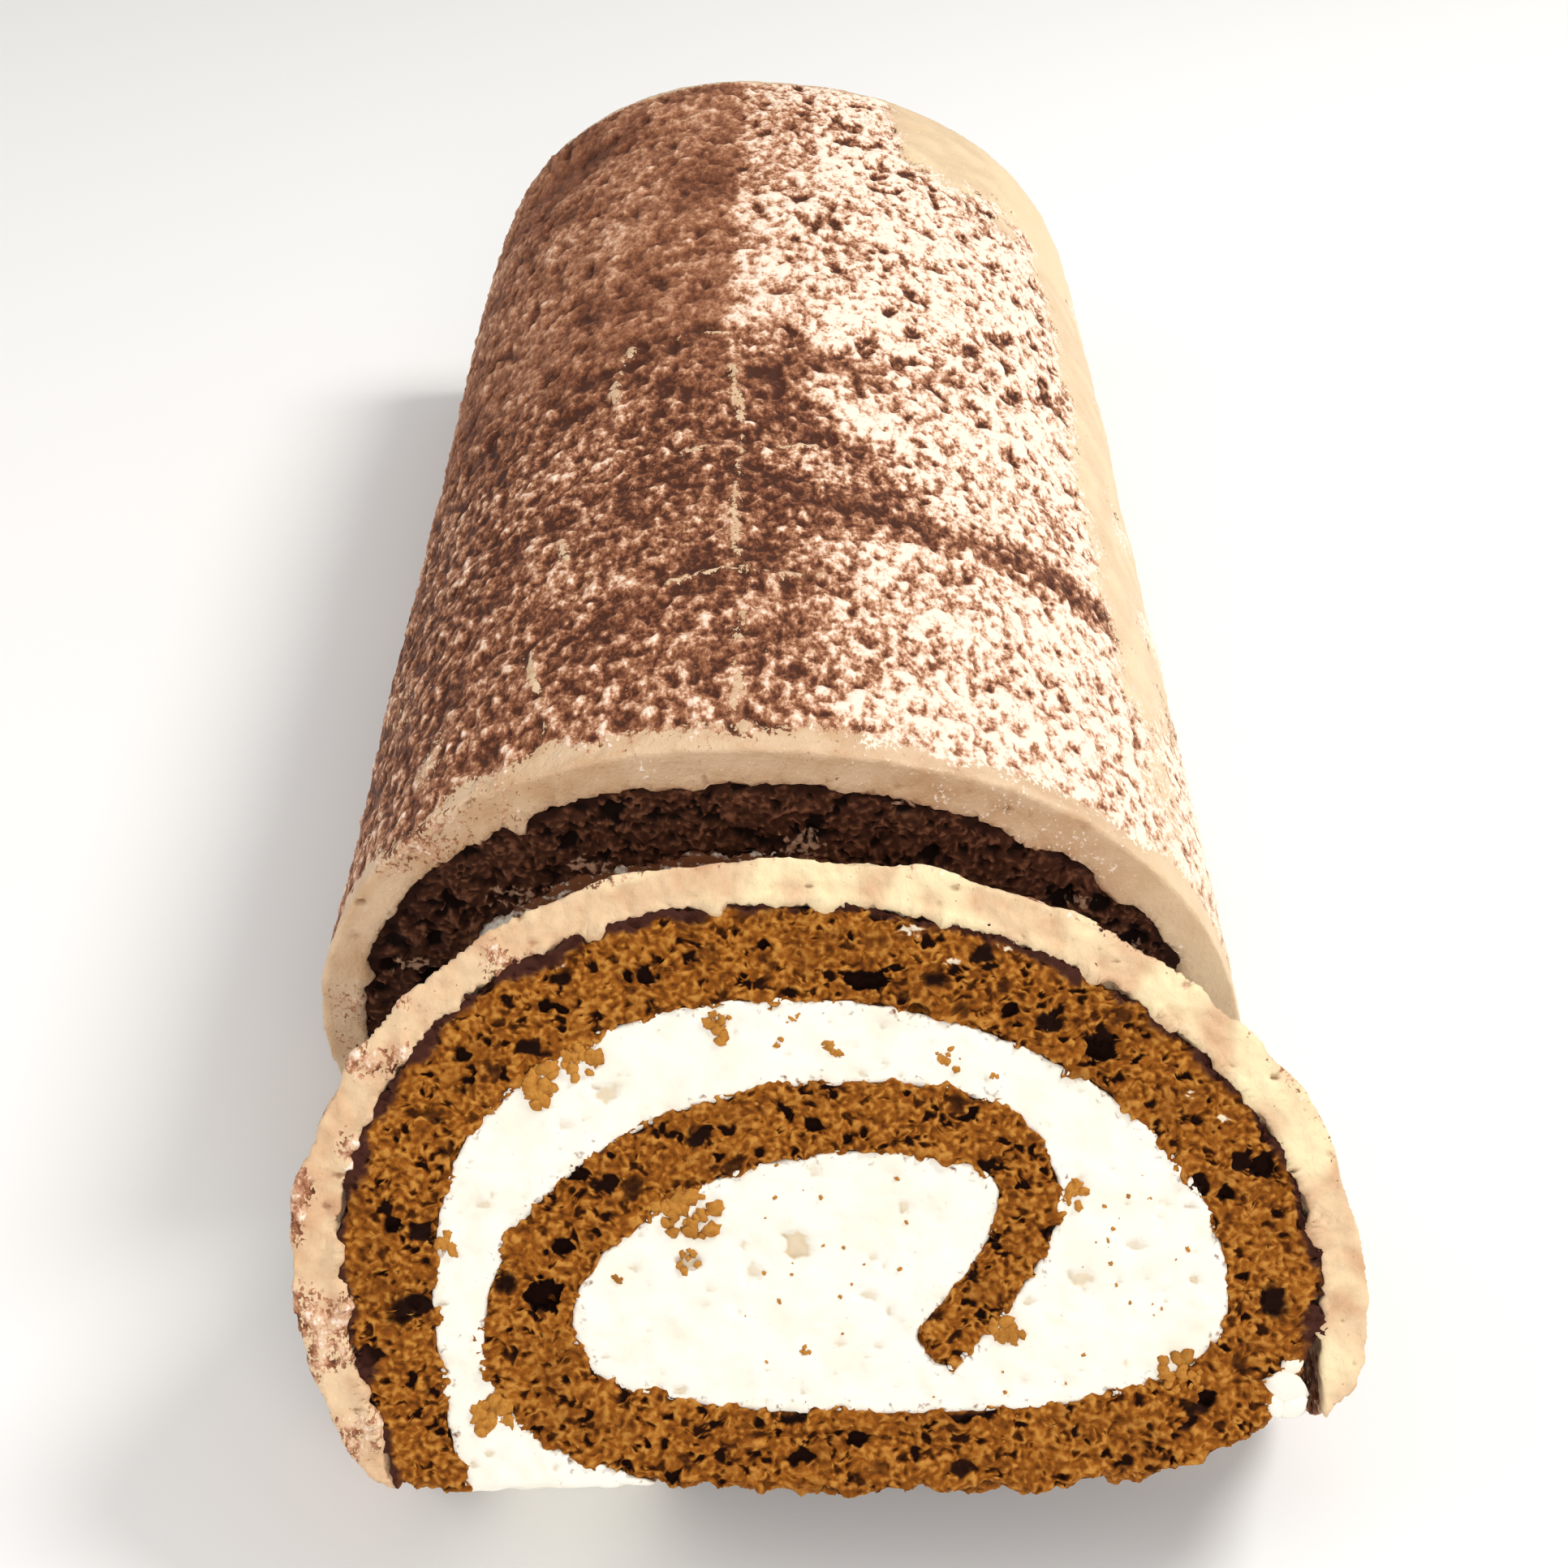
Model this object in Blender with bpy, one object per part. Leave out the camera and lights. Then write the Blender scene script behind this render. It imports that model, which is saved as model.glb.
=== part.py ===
"""Swiss roll cake: a coffee-iced roll of sponge and white cream with its first slice leaning on the cut end.

Metres, +Z up. The roll lies along Y with its cut end at the front (-Y), and the slice leans back on that end.
The origin is the middle of the whole cake's footprint, on the board.

Every layer is one closed solid that runs through its piece from face to face: the sponge is one rolled sheet,
the cream fills between its turns, and the icing is a coat over the top and the sides.
"""

import bisect
import math

import bmesh
import bpy
from mathutils import Matrix, Vector

MM = 0.001

# Driving dimensions
ROLL_LENGTH = 240 * MM
SLICE_THICKNESS = 26 * MM
SLICE_LEAN = math.radians(44)
SLICE_SIDEWAYS = 5 * MM
LAYER_GAP = 0.3 * MM
FOOT_STRIP = 2.5 * MM
FOOT_CRUSH = 1 * MM
OUTLINE_STEP = 4.5 * MM

# The rolled sheet's middle line, from its outer end to its inner one, in millimetres across and up. It runs
# level and upright by turns at these points, and each has the sheet's thickness there and the squareness of the
# quarter turn to the next point: 2 is an ellipse, more is boxier and less is straighter.
SHEET_TURNS = (
    (-42.0, -2.0, 6.2, 1.35),
    (-48.8, 25.0, 11.4, 2.2),
    (-4.0, 58.7, 11.4, 1.93),
    (49.4, 22.4, 10.8, 3.05),
    (4.0, 4.1, 8.6, 2.9),
    (-33.4, 17.5, 10.6, 1.9),
    (3.0, 40.3, 8.4, 2.6),
    (23.4, 30.5, 7.4, 1.2),
    (11.0, 14.6, 5.8, 2.0),
)

# The coat's outer line, from its left foot over the top to its right foot: across, up and squareness.
COAT_TURNS = (
    (-49.4, 0.6, 1.4),
    (-59.4, 24.0, 2.14),
    (-6.0, 69.0, 2.12),
    (59.8, 18.5, 2.0),
    (54.4, 7.6, 2.0),
)
RIGHT_FOOT_HEIGHT = 14.5 * MM
CREAM_FOOT = 0.5 * MM

# How far along the roll each ring lies, and how much wider and higher than the cut end the roll is there.
ROLL_RINGS = (
    (0.0, 1.0, 1.0),
    (0.16, 0.994, 1.004),
    (0.34, 1.006, 0.99),
    (0.52, 0.996, 0.998),
    (0.70, 1.004, 1.006),
    (0.86, 0.996, 1.0),
    (0.96, 0.99, 0.995),
    (1.0, 0.975, 0.98),
)

SPONGE_COLOUR = (0.34, 0.15, 0.03)
ROLL_SPONGE_COLOUR = (0.16, 0.07, 0.03)
CREAM_COLOUR = (0.93, 0.91, 0.85)
COAT_COLOUR = (0.55, 0.36, 0.22)


def clear_scene():
    for obj in list(bpy.data.objects):
        bpy.data.objects.remove(obj)


def layer_material(name, colour, roughness):
    material = bpy.data.materials.new(name)
    material.use_nodes = True
    shader = material.node_tree.nodes["Principled BSDF"]
    shader.inputs["Base Color"].default_value = (*colour, 1.0)
    shader.inputs["Roughness"].default_value = roughness
    shader.inputs["Metallic"].default_value = 0.0
    return material


def quarter_turn(start, end, squareness, leaves_level, count=48):
    """Points of a quarter of a superellipse from start up to, but without, end."""
    points = []
    for i in range(count):
        angle = math.pi / 2 * i / count
        rising = math.sin(angle) ** (2 / squareness)
        falling = math.cos(angle) ** (2 / squareness)
        if leaves_level:
            across = start[0] + (end[0] - start[0]) * rising
            up = end[1] + (start[1] - end[1]) * falling
        else:
            across = end[0] + (start[0] - end[0]) * falling
            up = start[1] + (end[1] - start[1]) * rising
        points.append(Vector((across, up)))
    return points


def line_through(turns):
    """The line through turning points, which it passes level and upright by turns, in metres."""
    points = []
    for i, (start, end) in enumerate(zip(turns, turns[1:])):
        points += quarter_turn(start[:2], end[:2], start[-1], leaves_level=i % 2 == 0)
    points.append(Vector(turns[-1][:2]))
    return [point * MM for point in points]


def lengths_along(points):
    total = [0.0]
    for a, b in zip(points, points[1:]):
        total.append(total[-1] + (b - a).length)
    return total


def point_at(points, lengths, distance):
    i = min(max(bisect.bisect_right(lengths, distance) - 1, 0), len(points) - 2)
    share = (distance - lengths[i]) / max(lengths[i + 1] - lengths[i], 1e-12)
    return points[i].lerp(points[i + 1], min(max(share, 0.0), 1.0))


def evenly_spaced(points, step):
    lengths = lengths_along(points)
    count = max(2, round(lengths[-1] / step))
    return [point_at(points, lengths, lengths[-1] * i / count) for i in range(count + 1)]


def smoothed(points, passes):
    """The open line with its corners eased and its two ends kept."""
    for _ in range(passes):
        middle = [(a + 2 * b + c) / 4 for a, b, c in zip(points, points[1:], points[2:])]
        points = [points[0], *middle, points[-1]]
    return points


def sheet_line():
    """The sheet's middle line and its thickness at each point of it."""
    rough = line_through(SHEET_TURNS)
    points = smoothed(evenly_spaced(rough, OUTLINE_STEP), 1)
    turn_of = []
    for point in points:
        nearest = min(range(len(rough)), key=lambda i: (rough[i] - point).length)
        turn_of.append(nearest / (len(rough) - 1) * (len(SHEET_TURNS) - 1))
    thickness = []
    for turn in turn_of:
        i = min(int(turn), len(SHEET_TURNS) - 2)
        share = turn - i
        thickness.append(MM * (SHEET_TURNS[i][2] * (1 - share) + SHEET_TURNS[i + 1][2] * share))
    return points, thickness


def side_of(points, thickness, outer, clearance=0.0):
    """The sheet's outer or inner face as a line, moved off the sheet by a clearance."""
    sign = 1 if outer else -1
    face = []
    for i, point in enumerate(points):
        ahead = points[min(i + 1, len(points) - 1)] - points[max(i - 1, 0)]
        outwards = Vector((-ahead.y, ahead.x)).normalized()
        face.append(point + outwards * sign * (thickness[i] / 2 + clearance))
    return face


def above_board(points, height=0.0):
    return [Vector((point.x, max(point.y, height))) for point in points]


def risen_from(points, height):
    """The line from where it first rises through a height."""
    above = next(i for i in range(1, len(points)) if points[i - 1].y <= height < points[i].y)
    share = (height - points[above - 1].y) / (points[above].y - points[above - 1].y)
    return [points[above - 1].lerp(points[above], share), *points[above:]]


def without_repeats(points, least=0.2 * MM):
    kept = []
    for point in points:
        if not kept or (point - kept[-1]).length > least:
            kept.append(point)
    if (kept[0] - kept[-1]).length <= least:
        kept.pop()
    return kept


def sponge_outline(points, thickness):
    outer = side_of(points, thickness, outer=True)
    inner = side_of(points, thickness, outer=False)
    return without_repeats(above_board(outer + inner[::-1]))


def cream_outline(points, thickness):
    """The space between the turns: in along the sheet's inner face, round its inner end and back out."""
    inner = side_of(points, thickness, outer=False, clearance=LAYER_GAP)
    outer = side_of(points, thickness, outer=True, clearance=LAYER_GAP)
    past_end = (points[-1] - points[-2]).normalized() * LAYER_GAP
    round_end = [inner[-1] + past_end, outer[-1] + past_end]
    back = risen_from(outer[len(outer) // 2 :], CREAM_FOOT)[::-1]
    return without_repeats(above_board(inner + round_end + back, CREAM_FOOT))


def coat_outline(points, thickness):
    """The icing: its outer line over the top and back along the sheet's outer face."""
    over = evenly_spaced(line_through(COAT_TURNS), OUTLINE_STEP)
    under = side_of(points, thickness, outer=True, clearance=LAYER_GAP)
    right_foot = next(i for i, point in enumerate(under) if point.x > 0 and point.y < RIGHT_FOOT_HEIGHT)
    under = risen_from(under[:right_foot], over[0].y)
    return without_repeats(over + under[::-1])


def swept(name, outline, rings, material, place=Matrix.Identity(4), board=None):
    """One closed solid: the outline drawn through rings of (distance along, width, height)."""
    mesh = bpy.data.meshes.new(name)
    work = bmesh.new()
    loops = []
    for along, wider, higher in rings:
        loops.append([work.verts.new((point.x * wider, along, point.y * higher)) for point in outline])
    for near, far in zip(loops, loops[1:]):
        for i in range(len(outline)):
            work.faces.new((near[i - 1], near[i], far[i], far[i - 1]))
    work.faces.new(loops[0])
    work.faces.new(loops[-1])
    bmesh.ops.recalc_face_normals(work, faces=work.faces)
    work.transform(place)
    if board is not None:
        for corner in work.verts:
            corner.co.z = max(corner.co.z, board)
    work.to_mesh(mesh)
    work.free()
    mesh.shade_smooth()
    mesh.set_sharp_from_angle(angle=math.radians(35))
    mesh.materials.append(material)
    obj = bpy.data.objects.new(name, mesh)
    bpy.context.scene.collection.objects.link(obj)
    return obj


def leaning_place(highest):
    """Leans a slice back so that its rear upper edge meets the cut end and its rear lower edge the board."""
    rear_top = Vector((0, SLICE_THICKNESS, highest))
    rear_foot = Vector((0, SLICE_THICKNESS, 0))
    turn = Matrix.Rotation(-SLICE_LEAN, 4, "X")
    back = -LAYER_GAP - (turn @ rear_top).y
    lift = -FOOT_CRUSH - (turn @ rear_foot).z
    return Matrix.Translation((SLICE_SIDEWAYS, back, lift)) @ turn


def place_on_origin(pieces):
    """Hangs every piece on one empty that brings the middle of the footprint to the origin."""
    corners = [vertex.co for piece in pieces for vertex in piece.data.vertices]
    middle = Vector(
        [(min(c[axis] for c in corners) + max(c[axis] for c in corners)) / 2 for axis in (0, 1)] + [0]
    )
    holder = bpy.data.objects.new("cake", None)
    bpy.context.scene.collection.objects.link(holder)
    holder.location = -middle
    for piece in pieces:
        piece.parent = holder


def build():
    clear_scene()
    points, thickness = sheet_line()
    outlines = {
        "sponge": sponge_outline(points, thickness),
        "cream": cream_outline(points, thickness),
        "coat": coat_outline(points, thickness),
    }
    materials = {
        "roll_sponge": layer_material("chocolate_sponge", ROLL_SPONGE_COLOUR, 0.9),
        "slice_sponge": layer_material("caramel_sponge", SPONGE_COLOUR, 0.9),
        "cream": layer_material("white_cream", CREAM_COLOUR, 0.6),
        "coat": layer_material("coffee_icing", COAT_COLOUR, 0.65),
    }
    roll_rings = [(share * ROLL_LENGTH, wider, higher) for share, wider, higher in ROLL_RINGS]
    slice_rings = [(y, 1.0, 1.0) for y in (0.0, SLICE_THICKNESS - FOOT_STRIP, SLICE_THICKNESS)]
    highest = max(point.y for point in outlines["coat"])
    leaning = leaning_place(highest)
    pieces = []
    for layer, outline in outlines.items():
        roll_look = materials.get("roll_" + layer, materials.get(layer))
        slice_look = materials.get("slice_" + layer, materials.get(layer))
        pieces.append(swept("roll_" + layer, outline, roll_rings, roll_look))
        pieces.append(swept("slice_" + layer, outline, slice_rings, slice_look, leaning, board=0.0))
    place_on_origin(pieces)


build()
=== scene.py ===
from math import cos, radians, sin
from random import Random

import bpy
import numpy as np
from mathutils import Matrix, Vector, noise
from mathutils.bvhtree import BVHTree
from mathutils.kdtree import KDTree


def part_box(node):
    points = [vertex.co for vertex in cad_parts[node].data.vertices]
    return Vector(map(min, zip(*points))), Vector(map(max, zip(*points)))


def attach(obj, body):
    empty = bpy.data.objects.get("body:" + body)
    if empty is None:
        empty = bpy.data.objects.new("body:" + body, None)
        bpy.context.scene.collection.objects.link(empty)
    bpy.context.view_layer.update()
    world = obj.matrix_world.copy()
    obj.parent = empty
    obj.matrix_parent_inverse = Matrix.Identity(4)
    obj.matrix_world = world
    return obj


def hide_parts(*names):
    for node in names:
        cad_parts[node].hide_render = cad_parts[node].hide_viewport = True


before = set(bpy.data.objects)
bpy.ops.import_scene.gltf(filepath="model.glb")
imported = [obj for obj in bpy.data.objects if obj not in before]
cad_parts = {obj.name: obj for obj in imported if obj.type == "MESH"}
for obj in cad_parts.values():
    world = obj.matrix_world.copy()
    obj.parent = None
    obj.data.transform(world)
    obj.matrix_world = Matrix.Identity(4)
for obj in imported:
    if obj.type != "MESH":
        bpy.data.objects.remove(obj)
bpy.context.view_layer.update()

MM = 0.001


# THE ROLL'S SPONGE
# A thin tray-baked sponge, rolled up while it was warm: the same crumb as the slice, painted darker, partly
# as painted shade for its cut end standing in shadow behind the slice and partly as a moister crumb. The
# knife has torn its crumb open at both ends, so the cut shows air holes, painted dark with shade, between
# rough walls. In between, only its underside is bare.

CRUMB_GRID = 0.36 * MM
UNDERSIDE_GRID = 1.8 * MM
END_DEPTH = 6 * MM
CUT_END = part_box("roll_sponge")[0].y
FAR_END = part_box("roll_sponge")[1].y


def copied(node, name):
    """A copy of a CAD solid with its loose triangles merged, ready to be worked on."""
    bpy.ops.object.select_all(action="DESELECT")
    piece = bpy.data.objects.new(name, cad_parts[node].data.copy())
    bpy.context.scene.collection.objects.link(piece)
    piece.data.materials.clear()
    bpy.context.view_layer.objects.active = piece
    piece.select_set(True)
    bpy.ops.object.mode_set(mode="EDIT")
    bpy.ops.mesh.select_all(action="SELECT")
    bpy.ops.mesh.remove_doubles(threshold=0.00001)
    bpy.ops.object.mode_set(mode="OBJECT")
    return piece


def cut(piece, place, away):
    """Cuts the piece at a flat place, and takes off what lies on the side that away points to."""
    bpy.context.view_layer.objects.active = piece
    bpy.ops.object.mode_set(mode="EDIT")
    bpy.ops.mesh.select_all(action="SELECT")
    bpy.ops.mesh.bisect(plane_co=place, plane_no=away, use_fill=True, clear_outer=True)
    bpy.ops.object.mode_set(mode="OBJECT")


def finished(piece, kind, **settings):
    """Adds a modifier and applies it."""
    modifier = piece.modifiers.new(kind.title(), kind)
    for key, value in settings.items():
        setattr(modifier, key, value)
    bpy.context.view_layer.objects.active = piece
    bpy.ops.object.modifier_apply(modifier=modifier.name)


def gridded(piece, grid):
    finished(piece, "REMESH", mode="VOXEL", voxel_size=grid)


def thinned(piece, most):
    """Drops the points that flat places don't need, down to a number of triangles."""
    triangles = sum(len(polygon.vertices) - 2 for polygon in piece.data.polygons)
    if triangles > most:
        finished(piece, "DECIMATE", ratio=most / triangles)


def bumped(piece, size, height):
    """Raises and sinks the surface by noise of a size in metres."""
    texture = bpy.data.textures.new("unevenness", "CLOUDS")
    texture.noise_scale = size
    texture.noise_depth = 2
    finished(piece, "DISPLACE", texture=texture, texture_coords="LOCAL", strength=height, mid_level=0.5)
    bpy.data.textures.remove(texture)


def points_of(piece):
    flat = np.empty(len(piece.data.vertices) * 3, np.float32)
    piece.data.vertices.foreach_get("co", flat)
    return flat.reshape(-1, 3).astype(float)


def normals_of(piece):
    flat = np.empty(len(piece.data.vertices) * 3, np.float32)
    piece.data.vertices.foreach_get("normal", flat)
    return flat.reshape(-1, 3).astype(float)


def moved_to(piece, points):
    piece.data.vertices.foreach_set("co", points.astype(np.float32).ravel())
    piece.data.update()


def noted(piece, name, values):
    """Keeps one number for each point, which the material reads by this name."""
    layer = piece.data.attributes.get(name) or piece.data.attributes.new(name, "FLOAT", "POINT")
    layer.data.foreach_set("value", np.asarray(values, np.float32))


def smooth(low, high, values):
    share = np.clip((np.asarray(values) - low) / (high - low), 0, 1)
    return share * share * (3 - 2 * share)


class Cut:
    """A flat cut through the cake: the point at the foot of its middle line, and its directions."""

    def __init__(self, foot, up, outwards):
        self.foot = Vector(foot)
        self.across = Vector((1, 0, 0))
        self.up = Vector(up).normalized()
        self.outwards = Vector(outwards).normalized()

    def place(self, across, up, out=0.0):
        """The point at a distance across and up the cut, and out from it, in millimetres."""
        return self.foot + (self.across * across + self.up * up + self.outwards * out) * MM

    def proud(self, points):
        return (points - np.array(self.foot)) @ np.array(self.outwards)


def field(points, size, seed):
    """Soft noise from -1 to 1 at each point, with features of a size in metres."""
    shift = Vector((seed * 7.3, seed * 3.1, seed * 5.7))
    return np.array([noise.noise(Vector(point) / size + shift) for point in points])


def bubbles(points, size, seed):
    """How far inside its bubble each point lies, 0 at a wall, and a number from 0 to 1 for each bubble."""
    shift = Vector((seed * 7.3, seed * 3.1, seed * 5.7))
    inside = np.empty(len(points))
    chance_of = np.empty(len(points))
    for i, point in enumerate(points):
        distances, centres = noise.voronoi(Vector(point) / size + shift)
        inside[i] = distances[1] - distances[0]
        chance_of[i] = (centres[0].x * 157.3 + centres[0].y * 311.7 + centres[0].z * 74.9) % 1
    return inside, chance_of


def torn(piece, face, seed):
    """Tears the crumb: the sheet's edges wander, and bubbles of two sizes lie open between thin walls."""
    points = points_of(piece)
    normals = normals_of(piece)
    for direction, turn in ((face.across, 2), (face.up, 3)):
        wander = 1.3 * field(points, 3.4 * MM, seed + turn) + 0.7 * field(points, 1.3 * MM, seed + turn + 5)
        points += np.outer(wander * MM, np.array(direction))
    bent = np.stack([field(points, 1.1 * MM, seed + turn) for turn in (12, 13, 14)], axis=1)
    bent = (points + bent * 0.8 * MM) / np.array([1.4, 1, 1])
    walls = field(points, 0.55 * MM, seed)
    small, small_chance = bubbles(bent, 1.05 * MM, seed + 1)
    middling, middling_chance = bubbles(bent, 2.1 * MM, seed + 2)
    sunk = (0.08 + 1.0 * small_chance**3) * smooth(0.03, 0.35, small)
    sunk = np.maximum(sunk, 1.6 * middling_chance**9 * smooth(0.05, 0.3, middling))
    moved_to(piece, points + normals * ((0.3 * walls - sunk) * MM)[:, None])
    edges = 1 - smooth(0.02, 0.3, small)
    # The wall value sets the painted highlight on the crumb's walls and bubble edges, and its painted shade
    # where the crumb sinks.
    noted(piece, "wall", 0.4 + 0.6 * walls + 0.3 * edges - 0.2 * smooth(0.2, 0.5, sunk))
    noted(piece, "pit", sunk)


def air_holes(seed, count, smallest, largest, rarity):
    """Holes as (across, up, width, height, depth) in millimetres: mostly small, a few large."""
    chance = Random(seed)
    holes = []
    for _ in range(count):
        width = smallest + (largest - smallest) * chance.random() ** rarity
        holes.append(
            (chance.uniform(-58, 58), chance.uniform(0, 66), width, width * chance.uniform(0.5, 0.95),
             width * chance.uniform(0.25, 0.75))
        )
    return holes


def opened(piece, face, holes, raggedness=0.5):
    """Sinks the holes that the knife opened into a cut face, and notes how deep each point lies, in mm."""
    points = points_of(piece)
    facing = normals_of(piece) @ np.array(face.outwards) > 0.25
    near = np.nonzero(facing & (np.abs(face.proud(points)) < 1.2 * MM))[0]
    tree = KDTree(len(near))
    for i, index in enumerate(near):
        tree.insert(points[index], i)
    tree.balance()
    depth = np.zeros(len(near))
    rough = [noise.noise(Vector(points[index]) / (0.8 * MM)) for index in near]
    for across, up, width, height, deep in holes:
        middle = face.place(across, up)
        for spot, i, _ in tree.find_range(middle, width * 0.75 * MM):
            offset = spot - middle
            reach = Vector((offset.dot(face.across) / width, offset.dot(face.up) / height)).length * 2 / MM
            reach *= 1 + raggedness * rough[i]
            if reach < 1:
                depth[i] = max(depth[i], deep * (1 - reach**3) ** 0.5)
    points[near] -= np.outer(depth * MM, np.array(face.outwards))
    moved_to(piece, points)
    known = np.zeros(len(points), np.float32)
    if "pit" in piece.data.attributes:
        piece.data.attributes["pit"].data.foreach_get("value", known)
    known[near] = np.maximum(known[near], depth)
    noted(piece, "pit", known)


def linear(hex_colour):
    """An sRGB hex colour as the linear colour that a shader wants."""
    parts = [int(hex_colour[i : i + 2], 16) / 255 for i in (1, 3, 5)]
    return (*[p / 12.92 if p <= 0.04045 else ((p + 0.055) / 1.055) ** 2.4 for p in parts], 1.0)


def new_material(name):
    material = bpy.data.materials.new(name)
    material.use_nodes = True
    return material, material.node_tree.nodes["Principled BSDF"]


def add_node(material, kind, settings=None, links=None):
    """Adds a node. Settings are its own or, by name or number, its sockets' values; links are its inputs."""
    node = material.node_tree.nodes.new(kind)
    for key, value in (settings or {}).items():
        if isinstance(key, str) and hasattr(node, key):
            setattr(node, key, value)
        else:
            node.inputs[key].default_value = value
    for key, socket in (links or {}).items():
        material.node_tree.links.new(socket, node.inputs[key])
    return node


def crumb_material(name, walls, lights, shade, hole_shade, rind, dragged):
    """Sponge crumb: matte bubble walls painted lighter where they catch the light, with painted shade in the
    low places and dark painted shade in the holes, under a dark baked skin.
    """
    material, shader = new_material(name)
    place = add_node(material, "ShaderNodeTexCoord").outputs["Object"]
    fine = add_node(
        material, "ShaderNodeTexNoise", {"Scale": 1 / (0.7 * MM), "Detail": 3.0, "Roughness": 0.6},
        {"Vector": place},
    )
    broad = add_node(
        material, "ShaderNodeTexNoise", {"Scale": 1 / (5 * MM), "Detail": 3.0}, {"Vector": place}
    )
    wall = add_node(material, "ShaderNodeAttribute", {"attribute_name": "wall"}).outputs["Fac"]
    height = add_node(
        material, "ShaderNodeMath", {"operation": "MULTIPLY_ADD", 1: 0.75},
        {0: fine.outputs["Fac"], 2: wall},
    )
    sunken = add_node(
        material, "ShaderNodeMapRange", {"From Min": 0.95, "From Max": 0.5}, {"Value": height.outputs[0]}
    )
    base = add_node(
        material, "ShaderNodeMix", {"data_type": "RGBA", 6: linear(walls), 7: linear(shade)},
        {0: sunken.outputs[0]},
    )
    raised = add_node(
        material, "ShaderNodeMapRange", {"From Min": 0.92, "From Max": 1.3}, {"Value": height.outputs[0]}
    )
    lit = add_node(
        material, "ShaderNodeMix", {"data_type": "RGBA", 7: linear(lights)},
        {0: raised.outputs[0], 6: base.outputs[2]},
    )
    patch = add_node(
        material, "ShaderNodeMapRange", {"From Min": 0.5, "From Max": 0.72, "To Max": 0.4},
        {"Value": broad.outputs["Fac"]},
    )
    patched = add_node(
        material, "ShaderNodeMix", {"data_type": "RGBA", 7: linear(shade)},
        {0: patch.outputs[0], 6: lit.outputs[2]},
    )
    # The deeper a hole, the darker it is painted: painted shade in the holes.
    pit = add_node(material, "ShaderNodeAttribute", {"attribute_name": "pit"}).outputs["Fac"]
    deep = add_node(
        material, "ShaderNodeMapRange", {"From Min": 0.2, "From Max": 0.75}, {"Value": pit}
    )
    hole_shaded = add_node(
        material, "ShaderNodeMix", {"data_type": "RGBA", 7: linear(hole_shade)},
        {0: deep.outputs[0], 6: patched.outputs[2]},
    )
    skin = add_node(material, "ShaderNodeAttribute", {"attribute_name": "skin"}).outputs["Fac"]
    skinned = add_node(
        material, "ShaderNodeMix", {"data_type": "RGBA", 7: linear(rind)},
        {0: skin, 6: hole_shaded.outputs[2]},
    )
    smear = add_node(material, "ShaderNodeAttribute", {"attribute_name": "smear"}).outputs["Fac"]
    caught = add_node(
        material, "ShaderNodeMath", {"operation": "MULTIPLY_ADD", 1: 1.6}, {0: height.outputs[0], 2: smear}
    )
    smeared = add_node(
        material, "ShaderNodeMapRange", {"From Min": 2.0, "From Max": 2.35}, {"Value": caught.outputs[0]}
    )
    soiled = add_node(
        material, "ShaderNodeMix", {"data_type": "RGBA", 7: linear(dragged)},
        {0: smeared.outputs[0], 6: skinned.outputs[2]},
    )
    bump = add_node(
        material, "ShaderNodeBump", {"Strength": 0.8, "Distance": 0.25 * MM},
        {"Height": fine.outputs["Fac"]},
    )
    links = material.node_tree.links
    links.new(soiled.outputs[2], shader.inputs["Base Color"])
    links.new(bump.outputs["Normal"], shader.inputs["Normal"])
    shader.inputs["Roughness"].default_value = 0.9
    shader.inputs["Specular IOR Level"].default_value = 0.15
    return material


def surface_of(node):
    """A CAD solid's surface, to measure distances from."""
    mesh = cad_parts[node].data
    return BVHTree.FromPolygons([v.co for v in mesh.vertices], [p.vertices for p in mesh.polygons])


def skin_noted(piece, coat_node, thickness=2.1, patchiness=0.9):
    """Notes where the sheet's baked skin shows against the icing: a thin, patchy line."""
    tree = surface_of(coat_node)
    points = points_of(piece)
    values = np.zeros(len(points))
    for i, point in enumerate(points):
        spot = Vector(point)
        hit = tree.find_nearest(spot, 3 * MM)
        if hit[3] is None:
            continue
        unevenness = patchiness * noise.noise(spot / (4 * MM)) + 0.3 * noise.noise(spot / MM)
        here = thickness * MM * (0.75 + unevenness)
        values[i] = 1 - smooth(here * 0.75, here * 1.1, hit[3]) if here > 0 else 0
    noted(piece, "skin", values)


def smear_noted(piece, face, smears):
    """Notes where filling was dragged over the crumb, at (across, up, reach) places in millimetres."""
    points = points_of(piece)
    flat = points - np.array(face.foot)
    wide = flat @ np.array(face.across) / MM
    high = flat @ np.array(face.up) / MM
    values = np.full(len(points), -1.0)
    for across, up, reach in smears:
        away = np.hypot((wide - across) / reach, (high - up) / (0.55 * reach))
        values = np.maximum(values, 1.1 - 1.3 * away)
    noted(piece, "smear", values)


def settled(piece, material, slot, *nodes):
    """Rests a finished piece on the board, with its material, smooth faces and place in the frame."""
    points = points_of(piece)
    points[:, 2] = np.maximum(points[:, 2], 0)
    moved_to(piece, points)
    piece.data.materials.clear()
    piece.data.materials.append(material)
    bpy.ops.object.select_all(action="DESELECT")
    bpy.context.view_layer.objects.active = piece
    piece.select_set(True)
    bpy.ops.object.shade_smooth()
    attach(piece, "root")
    if nodes:
        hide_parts(*nodes)


roll_middle = (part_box("roll_coat")[0].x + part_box("roll_coat")[1].x) / 2
cut_face = Cut((roll_middle, CUT_END, 0), up=(0, 0, 1), outwards=(0, -1, 0))
far_face = Cut((roll_middle, FAR_END, 0), up=(0, 0, 1), outwards=(0, 1, 0))

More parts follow.
